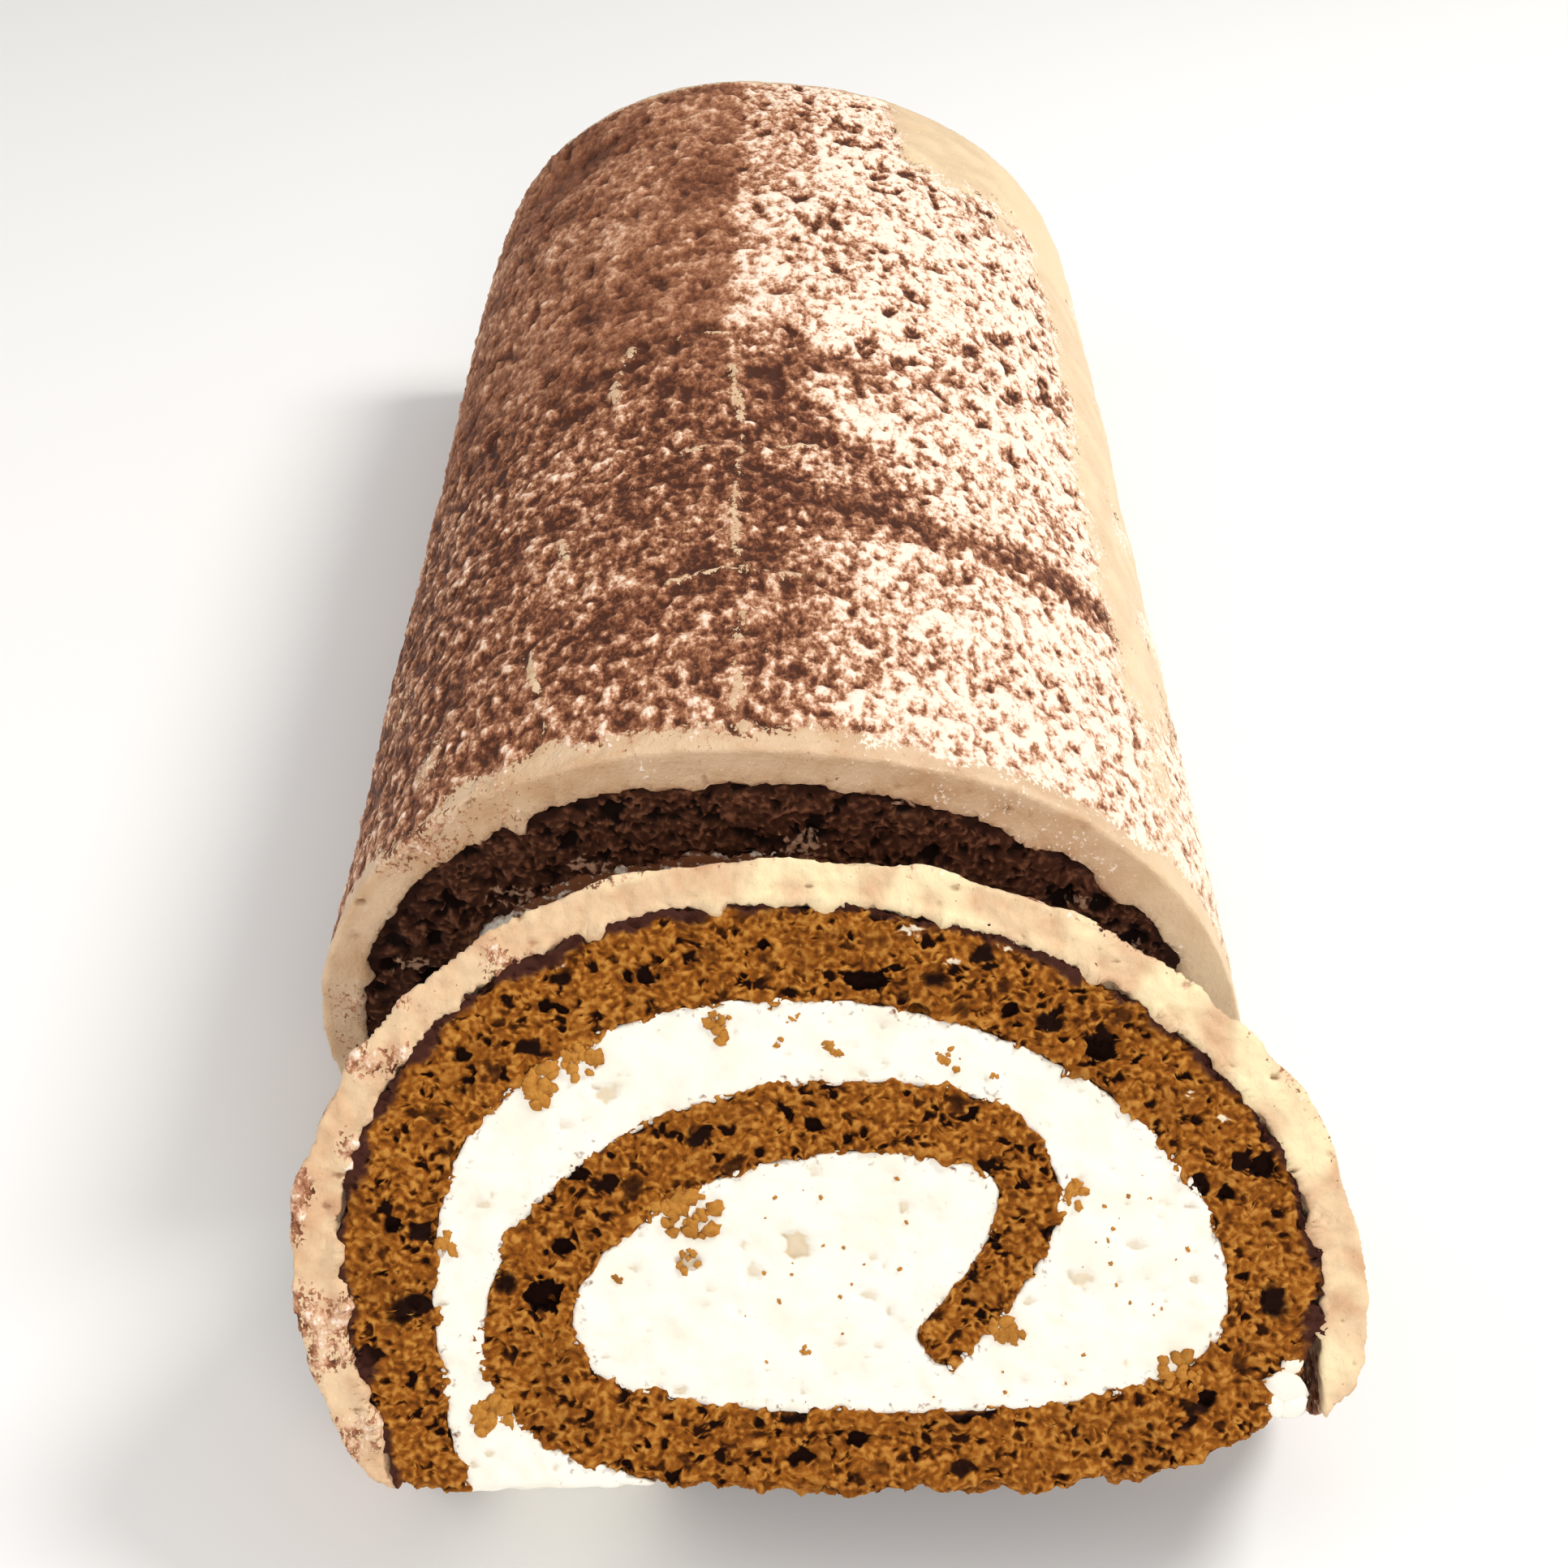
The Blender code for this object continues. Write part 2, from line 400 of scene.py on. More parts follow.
# The slice's crumb in darker colours throughout: partly painted shade for the roll's cut end, which stands in
# shadow behind the slice, and partly a moister crumb.
shaded_dark_crumb = crumb_material(
    "shaded_dark_sponge_crumb", walls="#462818", lights="#7A503A", shade="#321810", hole_shade="#140703",
    rind="#2C150D", dragged="#A5836A",
)

# Filling dragged over the crumb by the knife, as (across, up, reach) in millimetres on the cut end.
DRAGGED = ((2, 55, 6), (14.5, 61, 2.5), (-24, 52, 5), (-34, 47, 5), (37, 46, 3), (43, 38, 4), (-47, 36, 5))

for end, face, seed, smears in (("cut_end", cut_face, 11, DRAGGED), ("far_end", far_face, 12, ())):
    sponge = copied("roll_sponge", "roll_sponge_" + end)
    cut(sponge, face.place(0, 0, -END_DEPTH / MM), -face.outwards)
    gridded(sponge, CRUMB_GRID)
    torn(sponge, face, seed * 10)
    opened(sponge, face, air_holes(seed, 110, 1.6, 4.2, 2))
    skin_noted(sponge, "roll_coat")
    smear_noted(sponge, face, smears)
    thinned(sponge, 150000)
    settled(sponge, shaded_dark_crumb, "chocolate_sponge", "roll_sponge")


def plain(piece, **values):
    """Notes the same values all over a piece that hardly shows."""
    for name, value in values.items():
        noted(piece, name, np.full(len(piece.data.vertices), value))


underside = copied("roll_sponge", "roll_sponge_middle")
cut(underside, cut_face.place(0, 0, -END_DEPTH / MM), cut_face.outwards)
cut(underside, far_face.place(0, 0, -END_DEPTH / MM), far_face.outwards)
gridded(underside, UNDERSIDE_GRID)
plain(underside, pit=0.0, wall=0.5, skin=1.0, smear=-1.0)
settled(underside, shaded_dark_crumb, "chocolate_sponge", "roll_sponge")


# THE ROLL'S CREAM
# Whipped cream, spread over the sheet before it was rolled. It fills the space between the turns and clings
# to the crumb. Along the top of the cut end the knife has dragged brown crumb over it.

CREAM_GRID = 0.6 * MM
CREAM_CLING = 1.1 * MM


def cream_of(node, name, faces):
    """The cream swollen until it meets the crumb, and cut level again at the faces."""
    cream = copied(node, name)
    finished(cream, "DISPLACE", strength=CREAM_CLING, mid_level=0.0)
    gridded(cream, CREAM_GRID)
    for face, sunk in faces:
        cut(cream, face.place(0, 0, -sunk), face.outwards)
    return cream


def cream_material(name):
    """Whipped cream: very pale and soft, with no gloss."""
    material, shader = new_material(name)
    place = add_node(material, "ShaderNodeTexCoord").outputs["Object"]
    cloudy = add_node(
        material, "ShaderNodeTexNoise", {"Scale": 1 / (5 * MM), "Detail": 4.0}, {"Vector": place}
    )
    warm = add_node(
        material, "ShaderNodeMapRange", {"From Min": 0.45, "From Max": 0.75, "To Max": 0.7},
        {"Value": cloudy.outputs["Fac"]},
    )
    base = add_node(
        material, "ShaderNodeMix",
        {"data_type": "RGBA", 6: linear("#F2EEE2"), 7: linear("#EADFC9")}, {0: warm.outputs[0]},
    )
    # Pits are painted darker tan by their depth: painted shade in the pits.
    pit = add_node(material, "ShaderNodeAttribute", {"attribute_name": "pit"}).outputs["Fac"]
    sunk = add_node(
        material, "ShaderNodeMapRange", {"From Min": 0.1, "From Max": 0.9, "To Max": 0.6}, {"Value": pit}
    )
    hole_shade = add_node(
        material, "ShaderNodeMix", {"data_type": "RGBA", 7: linear("#DCC49C")},
        {0: sunk.outputs[0], 6: base.outputs[2]},
    )
    grain = add_node(
        material, "ShaderNodeTexNoise", {"Scale": 1 / (0.9 * MM), "Detail": 5.0}, {"Vector": place}
    )
    smear = add_node(material, "ShaderNodeAttribute", {"attribute_name": "smear"}).outputs["Fac"]
    dragged = add_node(
        material, "ShaderNodeMath", {"operation": "MULTIPLY_ADD", 1: 2.6},
        {0: grain.outputs["Fac"], 2: smear},
    )
    stained = add_node(
        material, "ShaderNodeMapRange", {"From Min": 1.62, "From Max": 2.05}, {"Value": dragged.outputs[0]}
    )
    soiled = add_node(
        material, "ShaderNodeMix", {"data_type": "RGBA", 7: linear("#7A4A2C")},
        {0: stained.outputs[0], 6: hole_shade.outputs[2]},
    )
    bump = add_node(
        material, "ShaderNodeBump", {"Strength": 0.35, "Distance": 0.2 * MM},
        {"Height": grain.outputs["Fac"]},
    )
    links = material.node_tree.links
    links.new(soiled.outputs[2], shader.inputs["Base Color"])
    links.new(bump.outputs["Normal"], shader.inputs["Normal"])
    shader.inputs["Roughness"].default_value = 0.6
    shader.inputs["Specular IOR Level"].default_value = 0.3
    return material


whipped_cream = cream_material("whipped_cream")

for end, face, seed, soiling in (("cut_end", cut_face, 21, 1.0), ("far_end", far_face, 22, 0.0)):
    cream = cream_of("roll_cream", "roll_cream_" + end, [(face, 0.45)])
    cut(cream, face.place(0, 0, -END_DEPTH / MM), -face.outwards)
    gridded(cream, CREAM_GRID)
    bumped(cream, 3 * MM, 0.9 * MM)
    opened(cream, face, air_holes(seed, 260, 0.6, 2.4, 4))
    upper = smooth(38 * MM, 48 * MM, points_of(cream)[:, 2]) * soiling
    noted(cream, "smear", -0.15 + upper + 0.5 * field(points_of(cream), 5 * MM, seed))
    thinned(cream, 80000)
    settled(cream, whipped_cream, "white_cream", "roll_cream")

cream_middle = copied("roll_cream", "roll_cream_middle")
cut(cream_middle, cut_face.place(0, 0, -END_DEPTH / MM), cut_face.outwards)
cut(cream_middle, far_face.place(0, 0, -END_DEPTH / MM), far_face.outwards)
gridded(cream_middle, UNDERSIDE_GRID)
plain(cream_middle, pit=0.0, smear=0.1)
settled(cream_middle, whipped_cream, "white_cream", "roll_cream")


# THE ROLL'S ICING
# Soft coffee buttercream spread over the top and sides with a palette knife, then dusted with cocoa. The damp
# cocoa has dried to a pitted, cracked skin, thick on the left and sparse on the right; the pale right side is
# also painted highlight, where the key light glares on it.

ICING_GRID = 0.68 * MM
RIM_ROUNDING = 2.6 * MM


# How cocoa looks from thick and damp to thin enough for the pale buttercream to shine through it. The palest
# stops also paint the highlight where the key light glares on the roll's right side.
COCOA_TONES = (
    (0.0, "#46200E"),
    (0.25, "#744228"),
    (0.45, "#9C6748"),
    (0.62, "#C89676"),
    (0.8, "#EACAB0"),
    (1.0, "#F8E8D6"),
)


def icing_material(name, bare, warm, cream, shadow):
    """Coffee buttercream under cocoa: satin beige below a matte powder, stippled from brown to pale."""
    material, shader = new_material(name)
    place = add_node(material, "ShaderNodeTexCoord").outputs["Object"]
    spread = add_node(
        material, "ShaderNodeTexNoise", {"Scale": 1 / (5 * MM), "Detail": 5.0}, {"Vector": place}
    )
    tint = add_node(
        material, "ShaderNodeMapRange", {"From Min": 0.4, "From Max": 0.66}, {"Value": spread.outputs["Fac"]}
    )
    butter = add_node(
        material, "ShaderNodeMix", {"data_type": "RGBA", 6: linear(bare), 7: linear(warm)},
        {0: tint.outputs[0]},
    )
    # This attribute mixes in the pale cream colour: painted highlight where the key light glares on the roll,
    # and random paler patches.
    painted_glare_and_pale_patches = add_node(material, "ShaderNodeAttribute", {"attribute_name": "painted_glare_and_pale_patches"}).outputs["Fac"]
    butter_with_glare_and_pale_patches = add_node(
        material, "ShaderNodeMix", {"data_type": "RGBA", 7: linear(cream)}, {0: painted_glare_and_pale_patches, 6: butter.outputs[2]}
    )
    pit = add_node(material, "ShaderNodeAttribute", {"attribute_name": "pit"}).outputs["Fac"]
    sunk = add_node(
        material, "ShaderNodeMapRange", {"From Min": 0.05, "From Max": 0.6, "To Max": 0.7}, {"Value": pit}
    )
    pocked = add_node(
        material, "ShaderNodeMix", {"data_type": "RGBA", 7: linear(shadow)},
        {0: sunk.outputs[0], 6: butter_with_glare_and_pale_patches.outputs[2]},
    )
    drawn_out = add_node(
        material, "ShaderNodeMapping", {"Scale": (1, 1 / 1.7, 1)}, {"Vector": place}
    )
    leather = add_node(
        material, "ShaderNodeTexNoise", {"Scale": 1 / (1.2 * MM), "Detail": 4.0, "Roughness": 0.6},
        {"Vector": drawn_out.outputs[0]},
    )
    grains = add_node(
        material, "ShaderNodeTexNoise", {"Scale": 1 / (0.55 * MM), "Detail": 2.0, "Roughness": 0.6},
        {"Vector": drawn_out.outputs[0]},
    )
    ridge = add_node(material, "ShaderNodeAttribute", {"attribute_name": "ridge"}).outputs["Fac"]
    stipple = add_node(material, "ShaderNodeAttribute", {"attribute_name": "stipple"}).outputs["Fac"]
    tone = add_node(material, "ShaderNodeAttribute", {"attribute_name": "tone"}).outputs["Fac"]
    leather_height = add_node(
        material, "ShaderNodeMath", {"operation": "MULTIPLY_ADD", 1: 1.1, 2: -0.9},
        {0: leather.outputs["Fac"]},
    )
    grain_height = add_node(
        material, "ShaderNodeMath", {"operation": "MULTIPLY_ADD", 1: 0.7},
        {0: grains.outputs["Fac"], 2: leather_height.outputs[0]},
    )
    height = add_node(
        material, "ShaderNodeMath", {"operation": "MULTIPLY_ADD", 1: 0.65},
        {0: ridge, 2: grain_height.outputs[0]},
    )
    stippled = add_node(
        material, "ShaderNodeMath", {"operation": "MULTIPLY_ADD"},
        {0: height.outputs[0], 1: stipple, 2: tone},
    )
    powder = add_node(material, "ShaderNodeValToRGB", links={"Fac": stippled.outputs[0]})
    stops = powder.color_ramp.elements
    stops[0].color = linear(COCOA_TONES[0][1])
    stops[1].color = linear(COCOA_TONES[-1][1])
    for position, colour in COCOA_TONES[1:-1]:
        stops.new(position).color = linear(colour)
    dust = add_node(material, "ShaderNodeAttribute", {"attribute_name": "dust"}).outputs["Fac"]
    missed = add_node(
        material, "ShaderNodeMath", {"operation": "SUBTRACT", 1: 0.5}, {0: grains.outputs["Fac"]}
    )
    spread_dust = add_node(
        material, "ShaderNodeMath", {"operation": "MULTIPLY_ADD", 1: 2.8}, {0: missed.outputs[0], 2: dust}
    )
    covered = add_node(
        material, "ShaderNodeMapRange", {"From Min": 0.42, "From Max": 0.6},
        {"Value": spread_dust.outputs[0]},
    )
    dusted = add_node(
        material, "ShaderNodeMix", {"data_type": "RGBA"},
        {0: covered.outputs[0], 6: pocked.outputs[2], 7: powder.outputs["Color"]},
    )
    bump = add_node(
        material, "ShaderNodeBump", {"Strength": 0.7, "Distance": 0.3 * MM}, {"Height": height.outputs[0]}
    )
    matt = add_node(
        material, "ShaderNodeMapRange", {"To Min": 0.45, "To Max": 0.7}, {"Value": covered.outputs[0]}
    )
    links = material.node_tree.links
    links.new(dusted.outputs[2], shader.inputs["Base Color"])
    links.new(bump.outputs["Normal"], shader.inputs["Normal"])
    links.new(matt.outputs[0], shader.inputs["Roughness"])
    shader.inputs["Specular IOR Level"].default_value = 0.25
    return material


def near_line(points, line, middle, front):
    """How far each point lies, seen from above, from a line of (across, along) places in millimetres."""
    flat = np.stack([(points[:, 0] - middle) / MM, (points[:, 1] - front) / MM], axis=1)
    nearest = np.full(len(points), 1e9)
    for a, b in zip(line, line[1:]):
        start = np.array(a)
        run = np.array(b) - start
        share = np.clip((flat - start) @ run / (run @ run), 0, 1)
        nearest = np.minimum(nearest, np.linalg.norm(flat - start - share[:, None] * run, axis=1))
    return nearest


# Cracks as lines of (across from the roll's middle, along from its cut end), in millimetres.
CRACKS = (
    ((-5, 3), (-6, 20), (-5, 38), (-7, 60), (-6, 82), (-8, 106)),
    ((-16, 40), (-8, 43), (2, 41), (11, 42)),
    ((-15, 78), (-8, 81), (-2, 79), (5, 81)),
    ((-18, 117), (-14, 119), (-9, 118)),
    ((-29, 6), (-30, 14), (-32, 22), (-33, 30)),
    ((-30, 52), (-31, 58)),
    ((-25, 90), (-26, 104), (-24, 116)),
)
CRACK_WIDTH = 0.85

icing = copied("roll_coat", "roll_icing")
bpy.ops.object.mode_set(mode="EDIT")
bpy.ops.mesh.select_mode(type="EDGE")
bpy.ops.mesh.select_all(action="DESELECT")
bpy.ops.object.mode_set(mode="OBJECT")
sheet_tree = surface_of("roll_sponge")
for edge in icing.data.edges:
    a, b = (icing.data.vertices[i].co for i in edge.vertices)
    at_end = all(min(abs(p.y - CUT_END), abs(p.y - FAR_END)) < 0.05 * MM for p in (a, b))
    outside = all(sheet_tree.find_nearest(p)[3] > 1.5 * MM for p in (a, b))
    edge.select = at_end and outside
bpy.ops.object.mode_set(mode="EDIT")
bpy.ops.mesh.bevel(offset=RIM_ROUNDING, segments=4, profile=0.5, clamp_overlap=True)
bpy.ops.object.mode_set(mode="OBJECT")
gridded(icing, ICING_GRID)
smooth_points = points_of(icing)
smooth_normals = normals_of(icing)
across = (smooth_points[:, 0] - roll_middle) / MM
along = (smooth_points[:, 1] - CUT_END) / MM
to_end = (FAR_END - smooth_points[:, 1]) / MM
to_sheet = np.array([sheet_tree.find_nearest(Vector(p))[3] for p in smooth_points]) / MM
skin_side = smooth(0.9, 1.6, to_sheet)
on_top = smooth(0.15, 0.5, 1 - np.abs(smooth_normals[:, 1])) * skin_side

broad_waves = field(smooth_points, 22 * MM, 1)
lumps = field(smooth_points, 6 * MM, 2)
drawn_out = smooth_points * np.array([1, 1 / 1.7, 1])
leathery = field(drawn_out, 1.4 * MM, 3)
pitted = field(drawn_out, 0.9 * MM, 4)
dents = field(drawn_out, 3.2 * MM, 12)
rim_noise = field(smooth_points, 9 * MM, 5)
patch_noise = field(smooth_points, 14 * MM, 6)
ridge = 0.6 * leathery + 0.4 * pitted - 0.6 * smooth(0.22, 0.5, dents) * smooth(60, 110, along)

# Where the cocoa is thin and the key light glares: three pale patches on the right, partly thinner cocoa and
# partly painted highlight, parted by a darker furrow, and a hazy far end.
far_patch = smooth(104, 116, along + 9 * lumps) * smooth(-9.5, -7.5, across + 1.5 * lumps)
far_patch *= 0.5 + 0.5 * smooth(-3, 12, across + 14 * patch_noise)
middle_patch = smooth(-4, 24, across + 16 * patch_noise)
middle_patch *= smooth(60, 70, along) * (1 - smooth(104, 116, along))
near_patch = 0.95 * smooth(-12, 36, across + 16 * patch_noise + 5 * lumps) * (1 - smooth(52, 60, along))
furrow = np.exp(-(((along - 67.3 + 0.28 * across + 5 * lumps) / 4.5) ** 2)) * smooth(-12, 0, across)
furrow *= 1 - smooth(10, 34, across)
# A dent at the far left end: sunk into the icing, and painted darker and smoother there as painted shade in
# the dent.
left_end_dent_and_shade = np.exp(-(((across + 42) / 8) ** 2) - ((along - 216) / 14) ** 2)
pale = np.clip(far_patch + middle_patch + near_patch, 0, 1)
tone = 0.3 + 0.6 * pale - 0.22 * furrow + 0.16 * lumps + 0.2 * patch_noise - 0.22 * left_end_dent_and_shade
tone += 0.1 * smooth(95, 150, along) * (1 - pale) + 0.12 * (1 - smooth(4, 26, along)) * (1 - pale)
stipple = 1.45 + 0.4 * pale - 0.75 * smooth(80, 130, along) * (1 - pale) - 0.5 * left_end_dent_and_shade

dust = 1.25 * smooth(1.8, 7.0, along + 3 * rim_noise + 2 * lumps) * smooth(0.5, 4, to_end + 1.5 * rim_noise)
side_noise = field(smooth_points, 28 * MM, 16)
dust -= 1.3 * smooth(44, 50, across + 3 * patch_noise + 2 * lumps)
dust -= 1.3 * smooth(18, 26, across + 8 * patch_noise) * smooth(192, 210, along + 14 * rim_noise + 6 * lumps)
dust += 0.8 * smooth(50, 56, across + 4 * lumps) * smooth(-0.2, 0.35, side_noise + 0.5 * patch_noise)
dust += 0.75 * smooth(43, 50, across) * (1 - smooth(15, 60, along + 25 * patch_noise)) * smooth(2, 7, along)
left_bare = smooth(40, 48, -across + 6 * patch_noise) * (1 - smooth(30, 60, along + 12 * patch_noise))
dust -= 0.75 * left_bare * smooth(-0.1, 0.4, patch_noise + 0.5 * lumps)
knifed = smooth(26, 44, -across + 9 * patch_noise) * smooth(-0.1, 0.4, rim_noise + 0.5 * lumps)
dust = dust * skin_side + (1 - smooth(1.5, 6, along)) * (0.5 * knifed + 0.25 * smooth(0.1, 0.5, lumps))
crack = np.zeros(len(smooth_points))
top_side = smooth(0.2, 0.5, smooth_normals[:, 2]) * skin_side
for line in CRACKS:
    wander = near_line(smooth_points, line, roll_middle, CUT_END) + 0.9 * rim_noise + 0.7 * lumps
    crack = np.maximum(crack, (1 - smooth(0.25 * CRACK_WIDTH, CRACK_WIDTH, np.abs(wander))) * top_side)
crack *= smooth(-0.6, -0.05, lumps + 0.6 * leathery)
dust -= 1.15 * crack

height = on_top * (0.55 * broad_waves + 0.35 * lumps - 1.6 * left_end_dent_and_shade)
height += on_top * ridge * (0.2 + 0.6 * np.clip(dust, 0, 1)) + 0.35 * crack
inner = 1 - smooth(0.5, 0.9, to_sheet)
drips = smooth(0.2, 0.6, field(smooth_points, 4.5 * MM, 14))
height += inner * (0.5 + 1.4 * np.clip(rim_noise + 0.4 * lumps, 0, 1) + 1.5 * drips + 0.3 * pitted)
moved_to(icing, smooth_points + smooth_normals * (height * MM)[:, None])
noted(icing, "ridge", ridge)
noted(icing, "dust", dust)
noted(icing, "tone", tone)
noted(icing, "stipple", stipple)
# The bare right side and the far right get painted highlight, where the key light glares, on top of random
# paler patches.
bare_side_glare = smooth(40, 48, across) + smooth(18, 26, across) * smooth(190, 200, along)
noted(icing, "painted_glare_and_pale_patches", np.clip(0.35 * smooth(-0.1, 0.5, lumps) * smooth(3, 10, along) + 0.6 * bare_side_glare, 0, 1))
opened(icing, cut_face, air_holes(31, 420, 0.5, 1.6, 4))
opened(icing, far_face, air_holes(32, 300, 0.5, 1.6, 4))
thinned(icing, 195000)
cocoa_icing = icing_material(
    "coffee_buttercream_with_cocoa", bare="#D8BA98", warm="#C9A47E", cream="#EBD3AC", shadow="#8A5B3A"
)
settled(icing, cocoa_icing, "coffee_icing", "roll_coat")


# THE SLICE'S SPONGE
# The first slice, cut off and laid back against the roll. Its crumb is golden brown, with air holes up to 5
# mm wide, painted dark with shade, and a thin line of dark baked skin under the icing. The face has a finer
# grid than the back.

SLICE_THICKNESS = 26 * MM
SLICE_LEAN = radians(44)
FOOT_CRUSH = 1 * MM
HERO_GRID = 0.26 * MM
FACE_DEPTH = 4

# The largest air holes as (across, up, width, height, depth) in millimetres on the slice's face.
LARGE_HOLES = (
    (-31.6, 20.7, 4.4, 3.4, 3.2),
    (4.3, 55.4, 5.2, 2.2, 2.4),
    (30.5, 47.8, 3.4, 3.0, 2.6),
    (24.8, 50.6, 3.6, 2.2, 1.0),
    (20.5, 52.2, 2.0, 1.6, 1.8),
    (-30.1, 55.6, 2.6, 1.8, 0.9),
    (12.0, 55.6, 3.2, 2.2, 0.8),
    (48.4, 35.0, 2.4, 2.8, 2.0),
    (44.2, 32.0, 1.8, 1.6, 1.8),
    (-47.0, 19.1, 3.8, 3.8, 0.8),
    (-35.8, 22.0, 2.8, 2.8, 0.8),
    (-29.5, 26.0, 2.4, 1.6, 1.8),
    (3.1, 5.4, 2.6, 1.6, 1.6),
    (41.5, 9.5, 2.0, 1.6, 1.8),
    (49.0, 20.0, 3.2, 4.2, 0.9),
    (-1.7, 39.2, 2.2, 1.6, 1.6),
    (-48.5, 28.5, 2.0, 1.6, 1.4),
    (-41.0, 47.0, 2.0, 1.8, 1.4),
)

slice_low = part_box("slice_sponge")[0]
section_middle = (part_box("slice_coat")[0].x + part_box("slice_coat")[1].x) / 2
lean_up = (0, sin(SLICE_LEAN), cos(SLICE_LEAN))
lean_out = Vector((0, -cos(SLICE_LEAN), sin(SLICE_LEAN)))
front_foot = Vector((section_middle, slice_low.y, SLICE_THICKNESS * sin(SLICE_LEAN) - FOOT_CRUSH))
slice_face = Cut(front_foot, up=lean_up, outwards=lean_out)
slice_back = Cut(front_foot - lean_out * SLICE_THICKNESS, up=lean_up, outwards=-lean_out)

golden_crumb = crumb_material(
    "golden_sponge_crumb", walls="#935413", lights="#BE8439", shade="#5C2F08", hole_shade="#1F0902",
    rind="#43231A", dragged="#E6D6BC",
)

# Bits of cream and icing dragged over the crumb, as (across, up, reach) in millimetres on the slice's face.
DRAGGED_ON_SLICE = (
    (9, 61, 2.5),
    (20, 59, 2),
    (-30, 57, 1.2),
    (14, 57.5, 1.5),
    (44, 40, 1.4),
    (40.5, 43, 1.6),
)

for side, face, grid, most, holes, seed, smears in (
    ("face", slice_face, HERO_GRID, 198000, LARGE_HOLES, 410, DRAGGED_ON_SLICE),
    ("back", slice_back, CRUMB_GRID, 110000, air_holes(42, 110, 1.6, 4.2, 2), 420, ()),
):
    sponge = copied("slice_sponge", "slice_sponge_" + side)
    cut(sponge, face.place(0, 0, -FACE_DEPTH), -face.outwards)
    gridded(sponge, grid)
    torn(sponge, face, seed)
    opened(sponge, face, holes)
    skin_noted(sponge, "slice_coat")
    smear_noted(sponge, face, smears)
    thinned(sponge, most)
    settled(sponge, golden_crumb, "caramel_sponge", "slice_sponge")

slice_middle = copied("slice_sponge", "slice_sponge_middle")
cut(slice_middle, slice_face.place(0, 0, -FACE_DEPTH), slice_face.outwards)
cut(slice_middle, slice_back.place(0, 0, -FACE_DEPTH), slice_back.outwards)
gridded(slice_middle, UNDERSIDE_GRID)
plain(slice_middle, pit=0.0, wall=0.5, skin=1.0, smear=-1.0)
settled(slice_middle, golden_crumb, "caramel_sponge", "slice_sponge")


# THE SLICE'S CREAM
# The same whipped cream where the knife went through it: just below the crumb, nearly white, with torn pits
# here and there.

# Torn pits as (across, up, width, height, depth) in millimetres on the slice's face.
TORN_PITS = (
    (-3.6, 26.1, 2.4, 3.4, 1.2),
    (27.6, 22.3, 2.6, 1.6, 0.8),
    (-25.0, 42.7, 2.6, 2.2, 0.9),
    (-8.4, 23.2, 1.6, 2.0, 0.7),
    (8.2, 30.2, 1.0, 3.2, 0.7),
    (4.3, 20.7, 2.0, 1.4, 0.6),
    (-15.7, 24.2, 2.6, 1.6, 0.8),
    (34.0, 26.0, 1.6, 1.4, 0.6),
)

slice_cream = cream_of("slice_cream", "slice_cream_filling", [(slice_face, 0.25), (slice_back, 0.3)])
gridded(slice_cream, 0.5 * MM)
bumped(slice_cream, 2.5 * MM, 0.7 * MM)
bumped(slice_cream, 0.9 * MM, 0.3 * MM)
opened(slice_cream, slice_face, air_holes(51, 900, 0.4, 1.3, 6) + list(TORN_PITS), raggedness=0.7)
opened(slice_cream, slice_back, air_holes(52, 500, 0.5, 2.2, 4), raggedness=0.7)
crumb_near = surface_of("slice_sponge")
to_crumb = np.array([crumb_near.find_nearest(Vector(point))[3] for point in points_of(slice_cream)]) / MM
noted(slice_cream, "smear", -0.22 + 0.32 * (1 - smooth(0.3, 2.2, to_crumb)))
thinned(slice_cream, 110000)
settled(slice_cream, whipped_cream, "white_cream", "slice_cream")


# THE SLICE'S ICING
# The band of coffee buttercream round the slice, seen end on where it was cut: pale, smooth and a little
# waxy, with cocoa specks dragged into it by the knife. Its outside carries the same cocoa as the roll.

slice_icing = copied("slice_coat", "slice_icing")
gridded(slice_icing, 0.5 * MM)
points = points_of(slice_icing)
normals = normals_of(slice_icing)
slice_sheet = surface_of("slice_sponge")
to_sheet = np.array([slice_sheet.find_nearest(Vector(p))[3] for p in points]) / MM
skin_side = smooth(0.9, 1.6, to_sheet)
behind_face = -slice_face.proud(points) / MM
rim_noise = field(points, 5 * MM, 7)
patch_noise = field(points, 12 * MM, 8)
drawn_out = points * np.array([1, 1 / 1.7, 1])
leathery = field(drawn_out, 1.5 * MM, 9)
pitted = field(drawn_out, 0.8 * MM, 10)
outward = smooth(0.15, 0.5, 1 - np.abs(normals @ np.array(lean_out))) * skin_side
ridge = 0.6 * leathery + 0.4 * pitted
across = (points[:, 0] - section_middle) / MM
left = smooth(16, 40, -across + 6 * patch_noise)
dragged_in = left * smooth(-0.25, 0.3, rim_noise + 0.5 * patch_noise)
outer_edge = smooth(3.0, 5.6, to_sheet) * smooth(-0.1, 0.4, patch_noise + 0.5 * rim_noise)
dust = (1.0 + 0.3 * patch_noise) * smooth(1.0, 4.5, behind_face + 1.5 * rim_noise) * skin_side
dust += -0.15 + 0.75 * dragged_in + 0.55 * outer_edge
height = outward * (0.9 * patch_noise + 0.9 * rim_noise + 0.4 * ridge)
height += (1 - outward) * (0.4 * rim_noise + 0.3 * leathery + 0.22 * pitted)
inner = 1 - smooth(0.5, 0.9, to_sheet)
height += inner * (0.4 + 1.1 * smooth(0.0, 0.5, field(points, 3.4 * MM, 15)) + 0.3 * pitted)
moved_to(slice_icing, points + normals * (height * MM)[:, None])
noted(slice_icing, "ridge", ridge)
